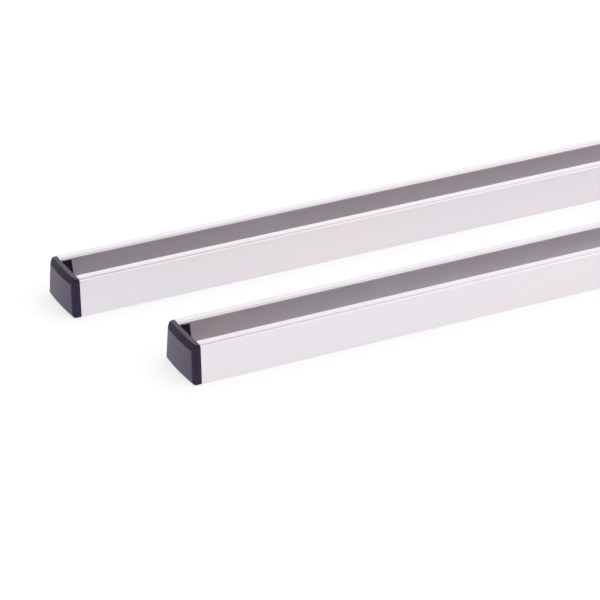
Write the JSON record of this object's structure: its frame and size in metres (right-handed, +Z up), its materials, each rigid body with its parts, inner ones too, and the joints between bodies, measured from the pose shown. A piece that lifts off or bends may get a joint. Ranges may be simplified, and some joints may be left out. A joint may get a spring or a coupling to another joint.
{
  "type": "pair of roof rails",
  "caption": "Parallel silver anodised aluminium channel rails with a slot along the top and black moulded end caps, lying side by side.",
  "frame": {"origin": "middle of the pair's footprint, on the surface that both rails lie on", "axes": "+X along the rails, +Y from the front rail to the rear rail, +Z up, out of the slots"},
  "size_m": [1.2414, 0.1484, 0.025],
  "materials": {
    "anodised_aluminium": "natural anodised extrusion, satin",
    "black_plastic": "injection moulded, satin"
  },
  "bodies": {
    "root": {"rear_rail": "anodised_aluminium", "front_rail": "anodised_aluminium", "rear_left_cap": "black_plastic", "rear_right_cap": "black_plastic", "front_left_cap": "black_plastic", "front_right_cap": "black_plastic"}
  },
  "joints": []
}
